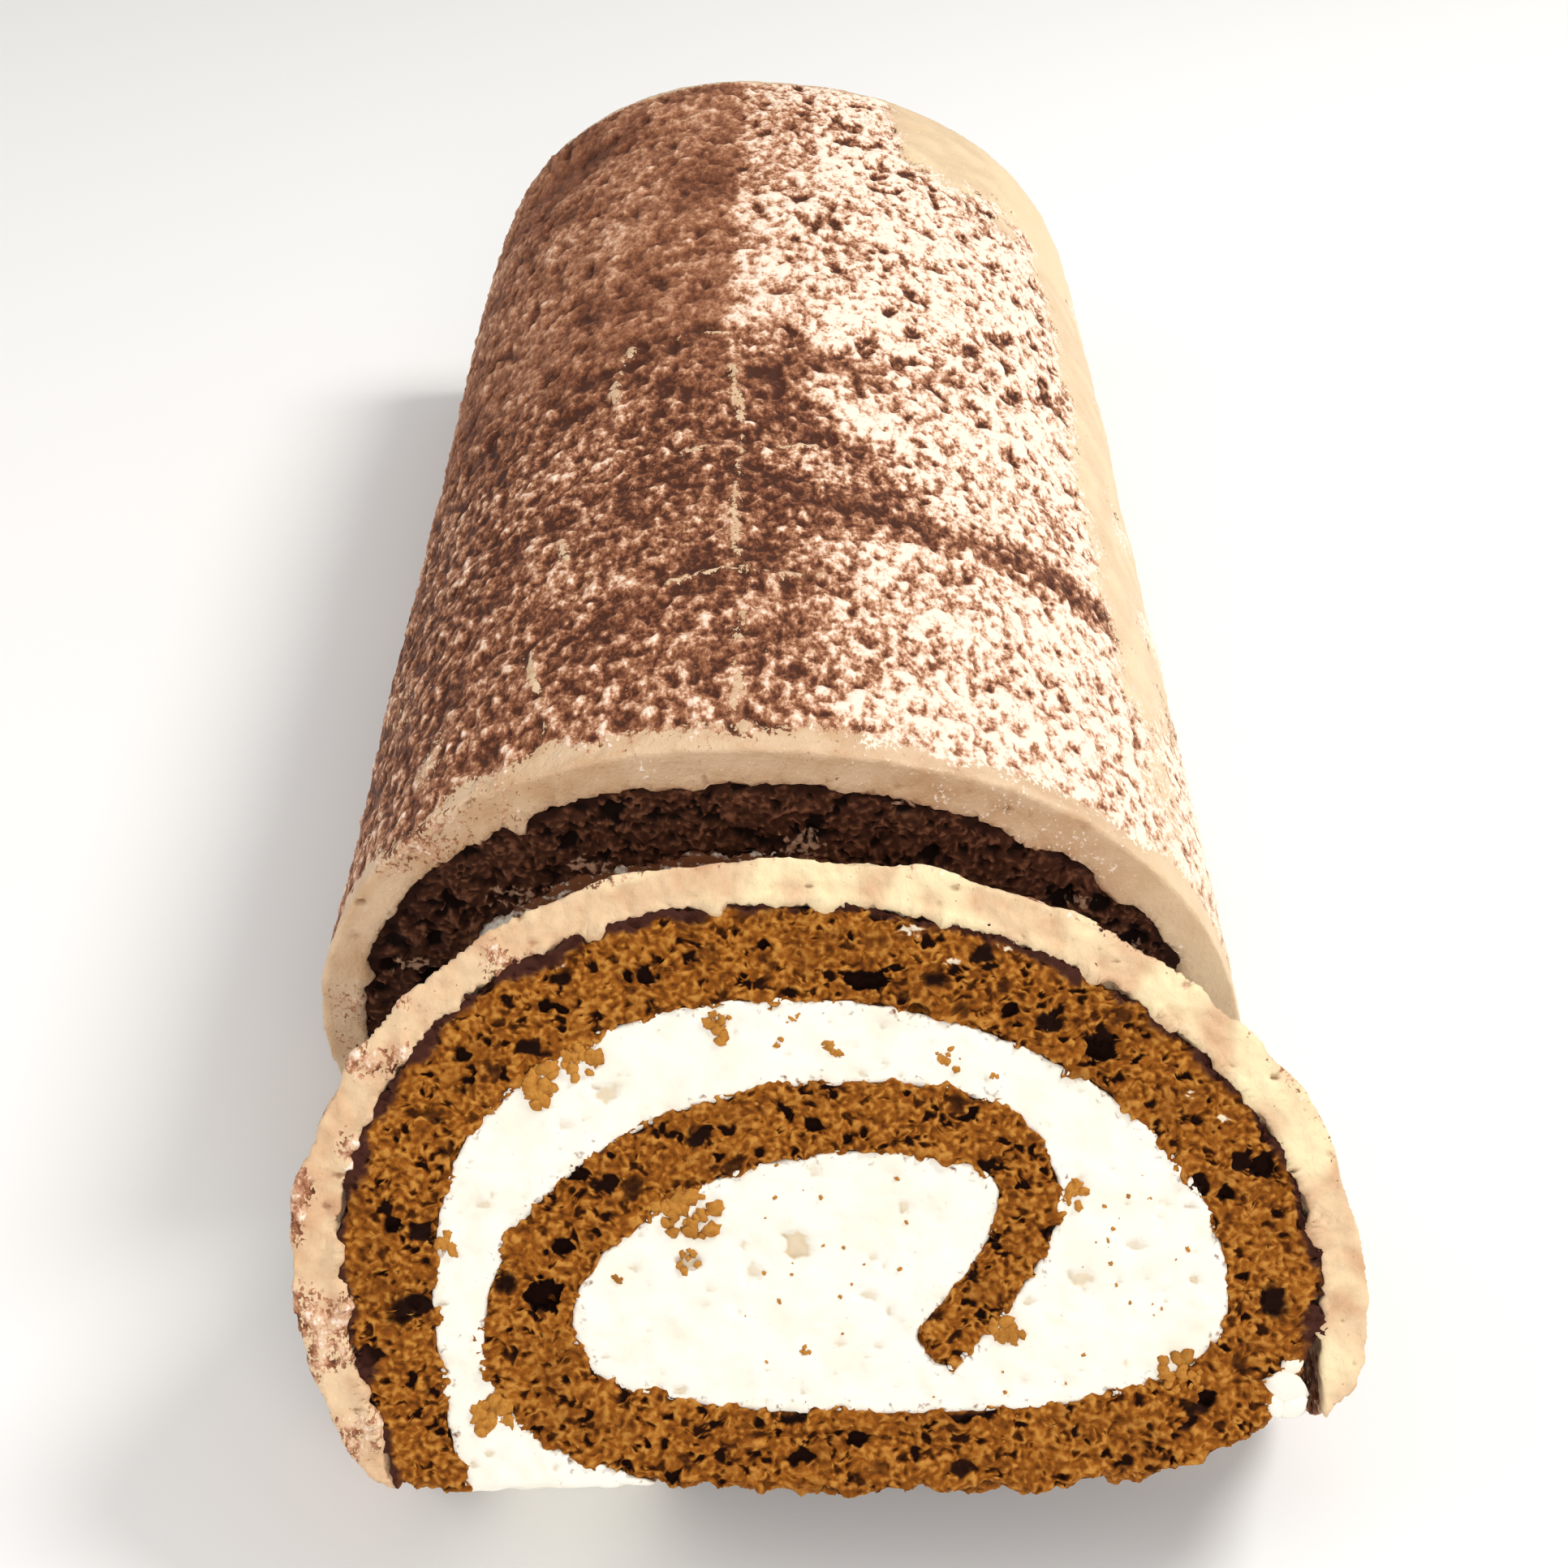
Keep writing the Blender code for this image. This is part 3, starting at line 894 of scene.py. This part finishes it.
noted(slice_icing, "dust", dust)
noted(slice_icing, "tone", 0.38 + 0.3 * rim_noise)
noted(slice_icing, "stipple", np.full(len(points), 1.3))
# On the slice this attribute lays only random paler patches, fewer on the left.
noted(slice_icing, "painted_glare_and_pale_patches", smooth(-0.35, 0.45, rim_noise + 0.3 * patch_noise) * (1 - 0.9 * left))
opened(slice_icing, slice_face, air_holes(61, 700, 0.4, 1.3, 5))
opened(slice_icing, slice_back, air_holes(62, 300, 0.4, 1.6, 4))
thinned(slice_icing, 140000)
cut_icing = icing_material(
    "coffee_buttercream_cut_through", bare="#DFC09A", warm="#CDA07A", cream="#F0DBB0", shadow="#8E5C38"
)
settled(slice_icing, cut_icing, "coffee_icing", "slice_coat")


# CRUMBS
# Bits of golden crumb that the knife dragged out of the sheet and left on the cream, mostly close to the
# sheet's edges, and cream squeezed out at the foot. Each is a torn lump half sunk in what it lies on.

# Where crumbs lie, as (across, up, spread, number, largest) in millimetres on the slice's face.
CRUMB_PATCHES = (
    (-27.5, 46.8, 2.2, 12, 2.4),
    (-32.3, 43.6, 2.4, 12, 2.6),
    (-12.6, 50.6, 1.6, 6, 1.8),
    (-0.1, 48.1, 1.2, 5, 1.2),
    (-3.6, 51.2, 1.0, 3, 1.0),
    (13.0, 46.8, 1.6, 5, 1.4),
    (18.4, 44.6, 0.6, 2, 1.0),
    (-5.9, 48.7, 0.8, 2, 0.9),
    (-16.7, 29.6, 3.2, 16, 2.4),
    (-15.7, 24.2, 1.6, 5, 1.2),
    (-23.4, 22.4, 0.5, 2, 1.1),
    (20.0, 16.8, 1.6, 8, 2.2),
    (-37.4, 8.0, 2.0, 12, 2.4),
    (38.1, 12.6, 2.2, 10, 2.2),
    (-42.4, 26.5, 1.4, 6, 1.8),
    (27.3, 31.8, 1.2, 6, 1.8),
    (-2.7, 14.6, 0.6, 2, 0.8),
    (24.0, 12.0, 8.0, 6, 0.8),
    (0.0, 22.0, 18.0, 14, 0.7),
    (34.0, 26.0, 8.0, 10, 0.7),
)


def torn_lump(name, roughness):
    """One lump of torn crumb, about 1 m across, to be copied at true size."""
    bpy.ops.object.select_all(action="DESELECT")
    bpy.ops.mesh.primitive_ico_sphere_add(subdivisions=2, radius=0.5, location=(0, 0, 0))
    lump = bpy.context.active_object
    lump.name = name
    bumped(lump, 0.4, roughness)
    return lump


def scattered(name, lump, face, places):
    """Copies of the lump pressed flat on a cut face at (place, size, turn), joined into one piece."""
    lie = Matrix((face.across, face.up, face.outwards)).transposed().to_4x4()
    copies = []
    for place, size, turn in places:
        bit = bpy.data.objects.new(name + "_bit", lump.data.copy())
        bpy.context.scene.collection.objects.link(bit)
        flat = Matrix.Diagonal((size, size * 0.75, size * 0.42, 1))
        tumbled = Matrix.Rotation(turn, 4, "Z") @ flat @ Matrix.Rotation(turn * 3, 4, (0.5, 0.6, 0.6))
        bit.data.transform(Matrix.Translation(place) @ lie @ tumbled)
        copies.append(bit)
    bpy.ops.object.select_all(action="DESELECT")
    for bit in copies:
        bit.select_set(True)
    bpy.context.view_layer.objects.active = copies[0]
    bpy.ops.object.join()
    bpy.data.objects.remove(lump)
    piece = bpy.context.active_object
    piece.name = name
    return piece


chance = Random(71)
places = []
for across_mm, up_mm, spread_mm, number, largest in CRUMB_PATCHES:
    for _ in range(2 * number):
        size = largest * chance.uniform(0.25, 0.95) * MM
        spot = slice_face.place(
            across_mm + chance.gauss(0, 0.5) * spread_mm, up_mm + chance.gauss(0, 0.5) * spread_mm, -0.2
        )
        places.append((spot, size, chance.uniform(0, 6.28)))
crumbs = scattered("golden_crumbs", torn_lump("crumb_lump", 0.9), slice_face, places)
plain(crumbs, pit=0.0, wall=0.85, skin=0.0, smear=-1.0)
settled(crumbs, golden_crumb, "caramel_sponge")

# Cream squeezed out past the end of the icing, as (across, up, size) in millimetres.
SQUEEZED = ((50.0, 10.8, 4.8), (50.8, 8.8, 3.4), (48.8, 9.0, 3.0), (50.8, 13.0, 2.8))
squeezed = scattered(
    "squeezed_cream", torn_lump("cream_lump", 0.4), slice_face,
    [(slice_face.place(a, u, -0.4), size * MM, a) for a, u, size in SQUEEZED],
)
plain(squeezed, pit=0.0, smear=-0.2)
settled(squeezed, whipped_cream, "white_cream")


# THE FLOOR, THE LIGHT AND THE CAMERA
# A plain white table and backdrop, a soft key light from the right, and the camera above the front.

bpy.ops.object.select_all(action="DESELECT")
bpy.ops.mesh.primitive_plane_add(size=6, location=(0, 0, 0))
floor = bpy.context.active_object
floor.name = "floor"
paper, paper_shader = new_material("white_paper")
paper_shader.inputs["Base Color"].default_value = linear("#F4F4F3")
paper_shader.inputs["Roughness"].default_value = 0.9
paper_shader.inputs["Specular IOR Level"].default_value = 0.1
floor.data.materials.append(paper)

world = bpy.context.scene.world or bpy.data.worlds.new("studio")
bpy.context.scene.world = world
world.use_nodes = True
sky = world.node_tree.nodes
sky.clear()
ray = sky.new("ShaderNodeLightPath")
seen = sky.new("ShaderNodeBackground")
seen.inputs["Strength"].default_value = 1.0
seen.inputs["Color"].default_value = (1, 1, 1, 1)
soft = sky.new("ShaderNodeBackground")
soft.inputs["Strength"].default_value = 0.42
soft.inputs["Color"].default_value = (1.0, 0.98, 0.96, 1)
either = sky.new("ShaderNodeMixShader")
out = sky.new("ShaderNodeOutputWorld")
world.node_tree.links.new(ray.outputs["Is Camera Ray"], either.inputs[0])
world.node_tree.links.new(soft.outputs[0], either.inputs[1])
world.node_tree.links.new(seen.outputs[0], either.inputs[2])
world.node_tree.links.new(either.outputs[0], out.inputs["Surface"])


def soft_light(name, place, aim, size, power, colour=(1, 1, 1)):
    light = bpy.data.lights.new(name, "AREA")
    light.shape = "DISK"
    light.size = size
    light.energy = power
    light.color = colour
    lamp = bpy.data.objects.new(name, light)
    lamp.location = place
    lamp.rotation_euler = (Vector(aim) - Vector(place)).to_track_quat("-Z", "Y").to_euler()
    bpy.context.scene.collection.objects.link(lamp)


soft_light("key", (0.55, 0.15, 0.75), (0, 0, 0.04), 0.35, 5.6, (1.0, 0.98, 0.95))
soft_light("front", (0.15, -0.95, 0.6), (0, -0.1, 0.04), 0.6, 5.0, (1.0, 0.98, 0.96))
soft_light("fill", (-0.8, -0.2, 0.6), (0, 0, 0.04), 0.7, 2.5)

CAMERA_AHEAD = 240 * MM
CAMERA_HIGH = 232 * MM
camera_data = bpy.data.cameras.new("camera")
camera_data.sensor_width = 36
camera_data.lens = 55.9
camera = bpy.data.objects.new("camera", camera_data)
camera.location = (roll_middle, CUT_END - CAMERA_AHEAD, CAMERA_HIGH)
camera.rotation_euler = (radians(90 - 35), 0, 0)
bpy.context.scene.collection.objects.link(camera)
bpy.context.scene.camera = camera
bpy.context.scene.view_settings.view_transform = "Standard"
